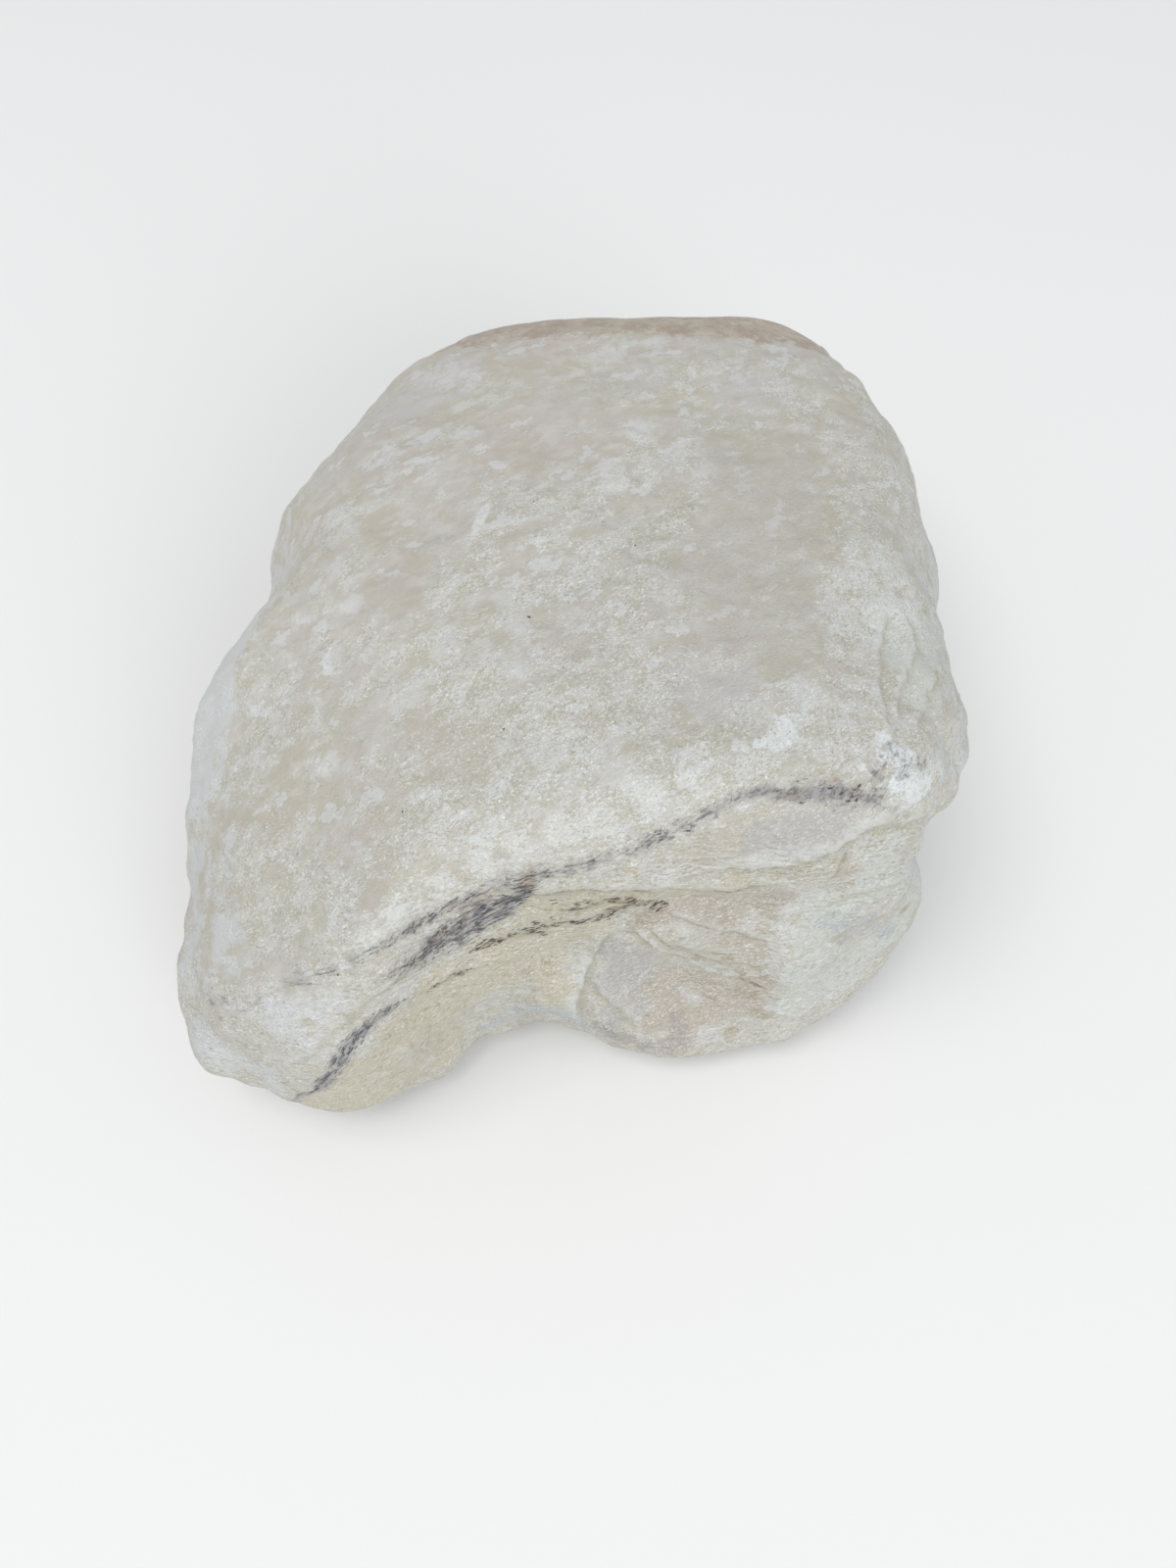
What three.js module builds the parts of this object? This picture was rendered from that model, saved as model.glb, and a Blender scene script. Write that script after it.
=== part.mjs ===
// Soapstone block: one rough, quarry-broken piece of pale soapstone.
// A gently domed, nearly level top; a steep front face of broken bedding with a ledge, a scooped
// hollow and a rib; a rounded back and left shoulder; a lobe that bulges at the right corner over a
// hollow; and an underside that rises, over broad breaks, from the flat patch the stone rests on.
// Millimetres. +X across the stone, +Y from the broken front face to the rounded back, +Z up.
// The origin is the middle of the bounding box, on the resting plane.
import * as THREE from "three";
import { mergeVertices } from "three/addons/utils/BufferGeometryUtils.js";

const WIDTH = 279; // along X
const LENGTH = 330; // along Y
const HEIGHT = 152; // along Z

// Facets: a ball of 20 * (19 + 1)^2 = 8000 of them, crowded towards the front and the top.
const FACET_DETAIL = 19;
const CROWDING = new THREE.Vector3(0.05, -0.24, 0.12);

// Each ray of the surface leaves the flat heart of the stone, an ellipse round this point.
const HEART = new THREE.Vector3(0, -14, 64);
const HEART_REACH = new THREE.Vector3(40, 52, 0);

// Stations round the stone, anticlockwise from the right. x and y lie on its widest outline, belly
// is the height of that line, foot how far the face is drawn in from there down to the floor, lean
// how far it falls back from there up to the top, and round the softness of the upper rim.
const STATIONS = [
  { x: 134, y: -19, belly: 98, foot: 36, lean: 6, round: 26 },
  { x: 136, y: 5, belly: 100, foot: 34, lean: 5, round: 28 },
  { x: 140, y: 32, belly: 102, foot: 32, lean: 4, round: 30 },
  { x: 140, y: 56, belly: 104, foot: 32, lean: 4, round: 30 },
  { x: 136, y: 83, belly: 104, foot: 32, lean: 4, round: 28 },
  { x: 131, y: 103, belly: 110, foot: 32, lean: 4, round: 28 },
  { x: 123, y: 124, belly: 109, foot: 32, lean: 4, round: 30 },
  { x: 110, y: 145, belly: 108, foot: 32, lean: 4, round: 34 },
  { x: 94, y: 164, belly: 106, foot: 32, lean: 4, round: 38 },
  { x: 59, y: 166, belly: 104, foot: 32, lean: 4, round: 42 },
  { x: 25, y: 166, belly: 102, foot: 32, lean: 4, round: 42 },
  { x: -10, y: 166, belly: 101, foot: 32, lean: 4, round: 42 },
  { x: -41, y: 166, belly: 100, foot: 32, lean: 4, round: 42 },
  { x: -58, y: 153, belly: 98, foot: 32, lean: 4, round: 42 },
  { x: -78, y: 140, belly: 96, foot: 32, lean: 4, round: 42 },
  { x: -91, y: 110, belly: 96, foot: 32, lean: 4, round: 42 },
  { x: -106, y: 83, belly: 95, foot: 32, lean: 4, round: 42 },
  { x: -120, y: 61, belly: 95, foot: 32, lean: 4, round: 42 },
  { x: -123, y: 37, belly: 94, foot: 32, lean: 4, round: 42 },
  { x: -121, y: 15, belly: 93, foot: 32, lean: 4, round: 42 },
  { x: -124, y: -5, belly: 91, foot: 34, lean: 4, round: 34 },
  { x: -145, y: -28, belly: 89, foot: 38, lean: 4, round: 31 },
  { x: -148, y: -53, belly: 87, foot: 40, lean: 4, round: 29 },
  { x: -146, y: -71, belly: 84, foot: 42, lean: 4, round: 28 },
  { x: -146, y: -89, belly: 79, foot: 44, lean: 4, round: 28 },
  { x: -142, y: -107, belly: 73, foot: 46, lean: 4, round: 28 },
  { x: -143, y: -125, belly: 62, foot: 50, lean: 4, round: 28 },
  { x: -143, y: -139, belly: 55, foot: 44, lean: 4, round: 28 },
  { x: -136, y: -155, belly: 42, foot: 30, lean: 4, round: 30 },
  { x: -118, y: -156, belly: 36, foot: 30, lean: 5, round: 28 },
  { x: -104, y: -163, belly: 28, foot: 34, lean: 6, round: 34 },
  { x: -85, y: -168, belly: 23, foot: 26, lean: 8, round: 36 },
  { x: -69, y: -165, belly: 21, foot: 22, lean: 12, round: 36 },
  { x: -49, y: -147, belly: 20, foot: 18, lean: 14, round: 34 },
  { x: -33, y: -138, belly: 24, foot: 16, lean: 10, round: 30 },
  { x: -8, y: -135, belly: 26, foot: 16, lean: 11, round: 26 },
  { x: 23, y: -141, belly: 18, foot: 14, lean: 22, round: 24 },
  { x: 42, y: -143, belly: 14, foot: 12, lean: 29, round: 24 },
  { x: 69, y: -139, belly: 14, foot: 12, lean: 28, round: 24 },
  { x: 90, y: -132, belly: 16, foot: 14, lean: 20, round: 24 },
  { x: 118, y: -114, belly: 22, foot: 22, lean: 11, round: 24 },
  { x: 133, y: -99, belly: 34, foot: 32, lean: 16, round: 24 },
  { x: 127, y: -84, belly: 54, foot: 42, lean: 10, round: 24 },
  { x: 132, y: -73, belly: 76, foot: 50, lean: 6, round: 26 },
  { x: 139, y: -62, belly: 90, foot: 46, lean: 10, round: 26 },
  { x: 138, y: -44, belly: 94, foot: 40, lean: 9, round: 26 },
];
const OUTLINE_STEPS = 900; // points of the smooth outline traced through the stations
const FOOT_CURVE = 1.5; // 1 is a straight taper from the belly to the foot, 2 a full round one
const LEAN_CURVE = 1.1; // above 1, the face falls back most near the top

// The top is highest at the crest, above the front face, and falls gently to every side and most to
// the left front corner.
const CREST = { x: 41, y: -66 };
const CREST_TO = { left: 160, right: 100, back: 230 }; // from the crest to the edges of the top
const FALL = { left: 16, leftEdge: 8, right: 8, rightEdge: 10, back: 25 }; // down at those edges
const CORNER = { facing: [-0.75, -0.66], from: 33, bend: 0.0024 };

// The underside rises from the resting patch to the back and to both sides, and less at the front.
// It starts sunk below the floor, which cuts it off flat.
const PATCH = { left: -36, right: 38, back: -12, sunk: 5 };
const RISE = { left: 88, right: 90, back: 102, curve: 1.1 }; // up at the edges of the stone
const SIDES_RISE = { none: -150, full: -20 }; // from no rise of the sides to all of it, along Y
const UNDERSIDE_ROUND = 24; // softness of the lower rim

// Broken bedding on the front face. Under the ledge line the face steps back, and most in the
// break-out between its left rib and its right edge; under the lower bed line, which its points
// follow along X and Z, it steps back a little. The steps die out towards the foot.
const FRONT_FACE = -60; // the bedding is broken only in front of this Y
const LEDGE = { start: -12, full: 14, height: 110, rise: 8, riseFrom: 62, riseTo: 82, step: 2.4 };
const BREAKOUT = { left: 6, leftEdge: 39, right: 76, rightEdge: 13, foot: 8, full: 26, step: 3.2 };
const LOWER_BED = [
  [-104, 30],
  [-90, 42],
  [-72, 68],
  [-55, 78],
  [-32, 76],
  [-6, 88],
  [19, 103],
  [40, 108],
];
const LOWER_BED_END = { full: -6, gone: 24 };
const LOWER_BED_STEP = 2.4;
const BED_EDGE = 5; // how far below its line a step takes to reach its depth
const BED_FOOT = { gone: 4, full: 24 };

// Hollows left where flakes broke away: balls taken out of the surface.
const HOLLOWS = [
  { at: [32, -178, 62], radius: 50, soft: 5 }, // the scoop beside the rib
  { at: [59, -188, 84], radius: 58, soft: 6 }, // its shallower neighbour on the right
  { at: [143, -98, 94], radius: 25, soft: 8 }, // under the right lobe
  { at: [-14, -168, 4], radius: 34, soft: 12 }, // the bay in the foot of the front face
  { at: [154, 30, 60], radius: 40, soft: 14 }, // right flank
  { at: [-171, 28, 66], radius: 46, soft: 16 }, // left flank, behind the shoulder
  { at: [20, 216, 34], radius: 78, soft: 16 }, // back
  { at: [-92, 150, 30], radius: 46, soft: 14 }, // back left
];

// Swellings: balls joined to the surface.
const LUMPS = [
  { at: [102, -64, 106], radius: 33, soft: 10 }, // the right lobe
  { at: [-4, -96, 58], radius: 34, soft: 10 }, // the rib, between the bay and the scoop
  { at: [-80, -112, 56], radius: 46, soft: 16 }, // the left front lobe
];

// Broad flat breaks: everything beyond the plane through a point is gone.
const BREAKS = [
  { at: [121, -122, 60], facing: [0.64, -0.74, 0.2], soft: 5 }, // right end of the front face
  { at: [60, 60, 41], facing: [0.33, 0.5, -1], soft: 6 }, // back right of the underside
  { at: [-60, 50, 36], facing: [-0.42, 0.48, -1], soft: 6 }, // back left of the underside
];

// Slow swells of the whole surface: height of each wave, the lengths of its steps along X, Y and Z,
// and where it starts.
const WAVES = [
  { height: 1.2, steps: [92, 71, 84], start: 0.4 },
  { height: 0.9, steps: [-58, 97, 66], start: 2.1 },
  { height: 0.6, steps: [150, -64, 47], start: 4.6 },
  { height: 0.4, steps: [-47, -130, 39], start: 1.3 },
];
const CALM_TOP = { share: 0.45, from: 100, full: 128 }; // the waves' share on the level top

const { clamp, lerp, smoothstep } = THREE.MathUtils;

// The larger of a and b, rounded where they are nearly equal: the inside of both.
function softMax(a, b, soft) {
  const overlap = Math.max(soft - Math.abs(a - b), 0) / soft;
  return Math.max(a, b) + (overlap * overlap * soft) / 4;
}

// The smaller of a and b, rounded where they are nearly equal: the inside of either.
function softMin(a, b, soft) {
  return -softMax(-a, -b, soft);
}

// The stations as one closed curve, sorted by azimuth for looking up.
function traceOutline() {
  const rim = new THREE.CatmullRomCurve3(
    STATIONS.map((s) => new THREE.Vector3(s.x, s.y, s.belly)),
    true,
  );
  const section = new THREE.CatmullRomCurve3(
    STATIONS.map((s) => new THREE.Vector3(s.foot, s.lean, s.round)),
    true,
  );
  const traced = [];
  for (let i = 0; i < OUTLINE_STEPS; i += 1) {
    const edge = rim.getPoint(i / OUTLINE_STEPS);
    const shape = section.getPoint(i / OUTLINE_STEPS);
    traced.push({
      azimuth: Math.atan2(edge.y, edge.x),
      reach: Math.hypot(edge.x, edge.y),
      belly: edge.z,
      foot: shape.x,
      lean: shape.y,
      round: shape.z,
    });
  }
  return traced.sort((a, b) => a.azimuth - b.azimuth);
}
const outline = traceOutline();

function outlineAt(azimuth) {
  let low = 0;
  let high = outline.length - 1;
  if (azimuth <= outline[low].azimuth || azimuth >= outline[high].azimuth) {
    return outline[high];
  }
  while (high - low > 1) {
    const middle = (low + high) >> 1;
    if (outline[middle].azimuth > azimuth) {
      high = middle;
    } else {
      low = middle;
    }
  }
  const a = outline[low];
  const b = outline[high];
  const t = (azimuth - a.azimuth) / (b.azimuth - a.azimuth || 1);
  return {
    reach: lerp(a.reach, b.reach, t),
    belly: lerp(a.belly, b.belly, t),
    foot: lerp(a.foot, b.foot, t),
    lean: lerp(a.lean, b.lean, t),
    round: lerp(a.round, b.round, t),
  };
}

function topHeight(x, y) {
  const left = Math.max(CREST.x - x, 0) / CREST_TO.left;
  const right = Math.max(x - CREST.x, 0) / CREST_TO.right;
  const back = Math.max(y - CREST.y, 0) / CREST_TO.back;
  const corner = Math.max(CORNER.facing[0] * x + CORNER.facing[1] * y - CORNER.from, 0);
  return (
    HEIGHT -
    FALL.left * left ** 2 -
    FALL.leftEdge * left ** 4 -
    FALL.right * right ** 2 -
    FALL.rightEdge * right ** 4 -
    FALL.back * back ** 2 -
    CORNER.bend * corner ** 2
  );
}

function bottomHeight(x, y) {
  const left = Math.max(PATCH.left - x, 0) / (WIDTH / 2 + PATCH.left);
  const right = Math.max(x - PATCH.right, 0) / (WIDTH / 2 - PATCH.right);
  const back = Math.max(y - PATCH.back, 0) / (LENGTH / 2 - PATCH.back);
  const side = RISE.left * left ** RISE.curve + RISE.right * right ** RISE.curve;
  const sideShare = smoothstep(y, SIDES_RISE.none, SIDES_RISE.full);
  return Math.hypot(RISE.back * back ** RISE.curve, side * sideShare) - PATCH.sunk;
}

function bedHeight(x) {
  let i = 1;
  while (i < LOWER_BED.length - 1 && LOWER_BED[i][0] < x) {
    i += 1;
  }
  const [x0, z0] = LOWER_BED[i - 1];
  const [x1, z1] = LOWER_BED[i];
  return lerp(z0, z1, clamp((x - x0) / (x1 - x0), 0, 1));
}

// How far the front face is broken back at a point of it.
function bedding(p) {
  if (p.y > FRONT_FACE) {
    return 0;
  }
  const ledge = LEDGE.height + LEDGE.rise * smoothstep(p.x, LEDGE.riseFrom, LEDGE.riseTo);
  const underLedge =
    smoothstep(ledge - p.z, 0, BED_EDGE) * smoothstep(p.x, LEDGE.start, LEDGE.full);
  const inBreakout =
    smoothstep(p.x, BREAKOUT.left, BREAKOUT.left + BREAKOUT.leftEdge) *
    smoothstep(BREAKOUT.right - p.x, 0, BREAKOUT.rightEdge) *
    smoothstep(p.z, BREAKOUT.foot, BREAKOUT.full);
  const underBed =
    smoothstep(bedHeight(p.x) - p.z, 0, BED_EDGE) *
    (1 - smoothstep(p.x, LOWER_BED_END.full, LOWER_BED_END.gone));
  const fade = smoothstep(p.z, BED_FOOT.gone, BED_FOOT.full);
  return (
    underLedge * (LEDGE.step * fade + BREAKOUT.step * inBreakout) + LOWER_BED_STEP * underBed * fade
  );
}

function swell(p) {
  const calm = lerp(1, CALM_TOP.share, smoothstep(p.z, CALM_TOP.from, CALM_TOP.full));
  let sum = 0;
  for (const { height, steps, start } of WAVES) {
    const phase = p.x / steps[0] + p.y / steps[1] + p.z / steps[2];
    sum += height * Math.sin(2 * Math.PI * phase + start);
  }
  return calm * sum;
}

// How far a point is outside a broad break: below zero where the stone is left.
const toPoint = new THREE.Vector3();
const outward = new THREE.Vector3();
function pastBreak(p, { at, facing }) {
  toPoint.fromArray(at).sub(p).negate();
  return toPoint.dot(outward.fromArray(facing).normalize());
}

// How far a point is outside a ball.
const centre = new THREE.Vector3();
function pastBall(p, { at, radius }) {
  return centre.fromArray(at).distanceTo(p) - radius;
}

// Below zero inside the stone and above zero outside it, near enough in millimetres.
function field(p) {
  const section = outlineAt(Math.atan2(p.y, p.x));
  const top = topHeight(p.x, p.y);
  const { belly } = section;
  const inset =
    p.z < belly
      ? section.foot * ((belly - p.z) / belly) ** FOOT_CURVE
      : section.lean * ((p.z - belly) / (top - belly)) ** LEAN_CURVE;
  let f = softMax(Math.hypot(p.x, p.y) - section.reach + inset, p.z - top, section.round);
  f = softMax(f, bottomHeight(p.x, p.y) - p.z, UNDERSIDE_ROUND);
  for (const face of BREAKS) {
    f = softMax(f, pastBreak(p, face), face.soft);
  }
  for (const lump of LUMPS) {
    f = softMin(f, pastBall(p, lump), lump.soft);
  }
  for (const hollow of HOLLOWS) {
    f = softMax(f, -pastBall(p, hollow), hollow.soft);
  }
  f += bedding(p) + swell(p);
  return Math.max(f, -p.z);
}

// Distance to the surface along a ray: marched out of the heart, then halved down.
const MARCH = 3;
const HALVINGS = 16;
function reachAlong(start, ray) {
  const p = new THREE.Vector3();
  let far = MARCH;
  while (field(p.copy(start).addScaledVector(ray, far)) < 0) {
    far += MARCH;
  }
  let near = far - MARCH;
  for (let i = 0; i < HALVINGS; i += 1) {
    const middle = (near + far) / 2;
    if (field(p.copy(start).addScaledVector(ray, middle)) < 0) {
      near = middle;
    } else {
      far = middle;
    }
  }
  return near;
}

const MERGE_TOLERANCE = 1e-5; // on the unit ball
const FLAT_BAND = 0.2; // what lies this close to the resting plane is on it
function stoneGeometry() {
  const ball = new THREE.IcosahedronGeometry(1, FACET_DETAIL);
  ball.deleteAttribute("normal");
  ball.deleteAttribute("uv");
  const stone = mergeVertices(ball, MERGE_TOLERANCE);
  const position = stone.getAttribute("position");
  const ray = new THREE.Vector3();
  for (let i = 0; i < position.count; i += 1) {
    ray.fromBufferAttribute(position, i).add(CROWDING).normalize();
    const start = ray.clone().multiply(HEART_REACH).add(HEART);
    const vertex = start.clone().addScaledVector(ray, reachAlong(start, ray));
    position.setXYZ(i, vertex.x, vertex.y, vertex.z < FLAT_BAND ? 0 : vertex.z);
  }
  return stone;
}

// The stone is brought to its measured size, its box centred on the origin and its foot at z = 0.
function fitToSize(geometry) {
  geometry.computeBoundingBox();
  const size = geometry.boundingBox.getSize(new THREE.Vector3());
  const middle = geometry.boundingBox.getCenter(new THREE.Vector3());
  geometry.translate(-middle.x, -middle.y, 0);
  geometry.scale(WIDTH / size.x, LENGTH / size.y, HEIGHT / size.z);
  return geometry;
}

const stone = new THREE.Mesh(
  fitToSize(stoneGeometry()),
  new THREE.MeshStandardMaterial({ color: 0xbfbeb7, roughness: 0.72, metalness: 0 }),
);
stone.name = "stone";

const part = new THREE.Group();
part.add(stone);
export default part;
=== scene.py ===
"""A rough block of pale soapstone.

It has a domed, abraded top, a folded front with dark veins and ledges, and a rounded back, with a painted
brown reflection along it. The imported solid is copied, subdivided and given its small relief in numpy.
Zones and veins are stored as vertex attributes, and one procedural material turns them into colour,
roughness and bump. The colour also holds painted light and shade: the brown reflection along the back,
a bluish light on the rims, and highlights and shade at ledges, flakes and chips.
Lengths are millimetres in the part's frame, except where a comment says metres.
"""
import math

import bmesh
import bpy
import numpy as np
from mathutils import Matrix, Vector


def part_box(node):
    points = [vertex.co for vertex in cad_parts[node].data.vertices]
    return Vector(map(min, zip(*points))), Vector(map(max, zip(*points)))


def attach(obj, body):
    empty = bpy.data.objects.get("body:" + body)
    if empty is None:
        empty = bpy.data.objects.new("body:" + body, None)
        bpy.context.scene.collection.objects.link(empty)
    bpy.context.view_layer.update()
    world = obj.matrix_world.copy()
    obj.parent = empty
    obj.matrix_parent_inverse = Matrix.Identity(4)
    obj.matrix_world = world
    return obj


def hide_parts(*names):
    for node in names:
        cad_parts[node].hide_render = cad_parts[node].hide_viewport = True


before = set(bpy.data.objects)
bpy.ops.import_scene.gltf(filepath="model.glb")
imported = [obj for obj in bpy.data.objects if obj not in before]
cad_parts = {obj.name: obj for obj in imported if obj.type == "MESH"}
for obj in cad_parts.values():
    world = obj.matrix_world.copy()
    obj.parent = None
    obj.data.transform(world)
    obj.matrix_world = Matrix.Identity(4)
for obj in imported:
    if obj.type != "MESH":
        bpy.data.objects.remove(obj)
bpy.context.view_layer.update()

MM = 0.001
SUBDIVISIONS = 3
TRIANGLES = 192000
SEED = 7
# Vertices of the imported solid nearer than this, in metres, are one.
WELD = 1e-6
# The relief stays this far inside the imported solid's box, and fades out between these two heights.
INSET = 0.05
FOOT = (0.3, 6.0)

# Camera: height angle above the floor, distance to the aim point, and the aim point.
CAMERA_ELEVATION = 57.19
CAMERA_DISTANCE = 439.7
CAMERA_AIM = (5.98, -52.94, 70.0)
CAMERA_LENS = 27.0
CAMERA_SENSOR = 36.0

# Stage, in metres: the floor's half width and how far it lies below the stone, and the lights.
FLOOR_HALF = 4.0
FLOOR_GAP = 0.0002
LIGHT_SIZE = 2.4
LIGHT_AIM = (0, 0, 0.05)

# Bedding sheets rise towards the front at this angle, so that each line on the front also has an upper
# and a lower side on the top.
SHEET_TILT = math.radians(40)
BED_THICKNESS = 5.2
# How far a vein reaches to the front and back of its line, and a distance past all step lines.
VEIN_DEPTH = 40
FAR = 9.0
# The planes in which the steps of the front and of the right shoulder are drawn.
FRONT_AXES = [0, 2]
TOP_AXES = [0, 1]
SHOULDER_HEIGHT = 120
# Directions of the material's strokes: along them, and across their bedding.
FEATHER = ((0.86, -0.1, 0.48), (-0.5, 0.0, 0.85))
STEEP = ((0.62, 0.05, 0.78), (-0.78, 0.0, 0.62))
BEDS = ((0.95, 0.0, 0.3), (-0.3, 0.0, 0.95))
CHIPS = ((0.9, 0.0, 0.35), (-0.3, 0.0, 0.95))
SCALES = ((0.84, 0.52, 0.2), (-0.2, 0.1, 1.0))
# The pale scratch on the top: its start, its end and half its width.
SCRATCH = ((-34.5, -2, 145), (-28.5, 19, 145), 2.4)
# The rubbed strip on the top: its middle, its slant, and its half width and half length.
STRIP_MIDDLE = (66, -10)
STRIP_SLANT = 0.12
STRIP_HALF = (34, 84)
# How far apart the small pits are.
PIT_SPACING = 6.0

# Display colours. Some are painted light and shade: the brown reflection along the back, the bluish rim
# light, highlights on ledge lips, flake edges and chips, glints on flecks, and shade in ledge hollows,
# shadow lines, gaps between flakes and pores.
COLOURS = dict(
    waxy_olive=(187, 183, 169), waxy_grey=(191, 187, 181), waxy_tan=(190, 182, 174),
    pale_streak=(200, 198, 193), dark_streak=(182, 177, 164), abraded_dark=(185, 182, 169),
    abraded_pale=(198, 198, 192), crust=(206, 208, 208), crust_ring=(170, 167, 158),
    front_dark=(184, 179, 165), front_pale=(195, 193, 184), tan=(184, 178, 166), lavender=(194, 192, 193),
    cream=(192, 184, 161), olive=(184, 180, 156), pink=(178, 168, 154), grey=(178, 175, 172),
    pale=(198, 202, 196), painted_rim_light=(202, 205, 207), brown=(160, 147, 124), slate=(176, 182, 182),
    dusk=(161, 155, 149), white=(206, 207, 207), bruise=(220, 226, 229), rubbed=(187, 184, 177),
    rind_brown=(163, 147, 131), rind_beige=(180, 168, 153), rind_scuff=(199, 192, 182),
    rind_dark=(143, 128, 112), chalk=(211, 212, 209), flake_edge=(230, 232, 232), sparkle=(224, 225, 223),
    gap=(158, 155, 147), chip=(226, 228, 225), pore=(150, 143, 126), vein_shadow=(158, 156, 156),
    rust=(164, 149, 134), vein_blot=(108, 109, 116), vein_stroke=(68, 69, 75), lip_highlight=(210, 213, 211),
    hollow=(172, 166, 145), hairline=(132, 125, 106), seam_shadow=(174, 165, 144), seam_speck=(70, 63, 57),
    blot_halo=(150, 141, 124), blot=(68, 61, 58), scratch=(214, 215, 214), speck=(52, 46, 42),
    dark_bed=(148, 141, 117), pale_bed=(211, 210, 199),
)
# The most that each zone's tint covers the stone, in the order of painting, and the zones that end in
# fine shreds. One tint is painted light: the bluish light on the rims.
TINTS = dict(
    tan=0.6, lavender=0.6, cream=0.85, olive=0.7, pink=0.88, grey=0.85, pale=0.78, painted_rim_light=0.75,
    brown=0.75, slate=0.85, dusk=0.75, white=0.52, bruise=0.85,
)
SHREDDED = ("brown", "dusk", "white", "bruise")

# The upper dark vein, along the fold between the top and the front: x, y, z, half width, darkness.
UPPER_VEIN = [
    (-92, -143, 92, 2.4, 0), (-86, -143, 97, 3, 0.3), (-76, -144, 103, 3, 0.42), (-69, -143, 108, 3.4, 0.4),
    (-58, -139, 111, 3, 0.52), (-45, -131, 113, 3.6, 0.72), (-34, -127, 116, 3.6, 0.85),
    (-24, -123, 121, 3.2, 0.75), (-15, -122, 125, 3.4, 0.8), (-9, -121, 128, 3.2, 0.7),
    (-4, -122, 129, 3.2, 0.5), (6, -120, 131, 3.8, 0.46), (14, -118, 133, 3.8, 0.36),
    (21, -117, 136, 4.2, 0.44), (27, -115, 138, 4, 0.6), (30, -114, 139, 3.8, 0.42),
    (34, -113, 140, 3.6, 0.5), (40, -111, 142, 3.4, 0.36), (47, -109, 145, 2.8, 0.3),
    (54, -106, 147, 2.2, 0),
]
# Its soft grey end, with few strokes.
SOFT_VEIN = [
    (40, -111, 142, 1.6, 0), (46, -108, 146, 2.2, 0.5), (52, -106, 146, 2.6, 0.5), (58, -105, 147, 3, 0.6),
    (64, -105, 146, 3.4, 0.85), (70, -105, 146, 3.6, 1), (76, -105, 146, 3.8, 1), (82, -105, 145, 4, 1.05),
    (88, -105, 144, 3.6, 0.9), (92, -105, 142, 3.2, 0.55), (97, -106, 139, 2.6, 0.3),
    (105, -105, 132, 2, 0.2), (110, -104, 128, 1.6, 0),
]
# The lower side of its wide dark patch.
LOWER_BAND = [
    (-60, -142, 95, 2, 0), (-54, -140, 98, 4, 0.45), (-47, -137, 101, 6, 0.95), (-37, -131, 103, 8, 1.25),
    (-28, -127, 107, 7.6, 1.4), (-20, -125, 112, 6.6, 1.4), (-13, -123, 119, 5, 1.2),
    (-8, -122, 126, 2.4, 0.4), (-5, -122, 128, 1.6, 0),
]
# The short lower vein at the left end of the front.
LOWER_VEIN = [
    (-97, -162, 34, 1.4, 0.3), (-93, -162, 41, 2.2, 0.8), (-86, -163, 52, 2.8, 0.92),
    (-79, -163, 63, 3.6, 0.98), (-74, -161, 71, 4, 1), (-70, -158, 78, 3.6, 1), (-65, -154, 83, 3, 1),
    (-60, -150, 84, 2.4, 0.95), (-56, -147, 85, 1.6, 0.75), (-52, -144, 86, 1.2, 0),
]
# Fine dotted seams: x, y, z, ink.
SEAMS = {
    "dotted": [
        (-58, -148, 83, 0.3), (-51, -143, 83, 0.7), (-45, -139, 81, 1), (-39, -136, 82, 1.1),
        (-34, -134, 82, 1.1), (-29, -132, 82, 0.6), (-22, -130, 83, 0),
    ],
    "speckled": [
        (-36, -132, 92, 0), (-32, -131, 94, 0.85), (-24, -129, 94, 1), (-19, -128, 95, 0.85),
        (-16, -127, 98, 0.85), (-11, -126, 101, 0.9), (-6, -126, 102, 0.9), (0, -126, 101, 1),
        (6, -125, 100, 1), (11, -124, 103, 0.95), (15, -124, 107, 1), (20, -123, 109, 0.9),
        (26, -121, 106, 0),
    ],
    "upper_seam": [
        (-10, -125, 114, 0), (-6, -125, 114, 0.6), (0, -125, 114, 0.6), (6, -125, 114, 0.85),
        (12, -124, 114, 1), (18, -124, 113, 1.05), (23, -122, 109, 1.1), (26, -120, 105, 1.1),
        (31, -120, 101, 1), (34, -119, 101, 0),
    ],
}
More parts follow.
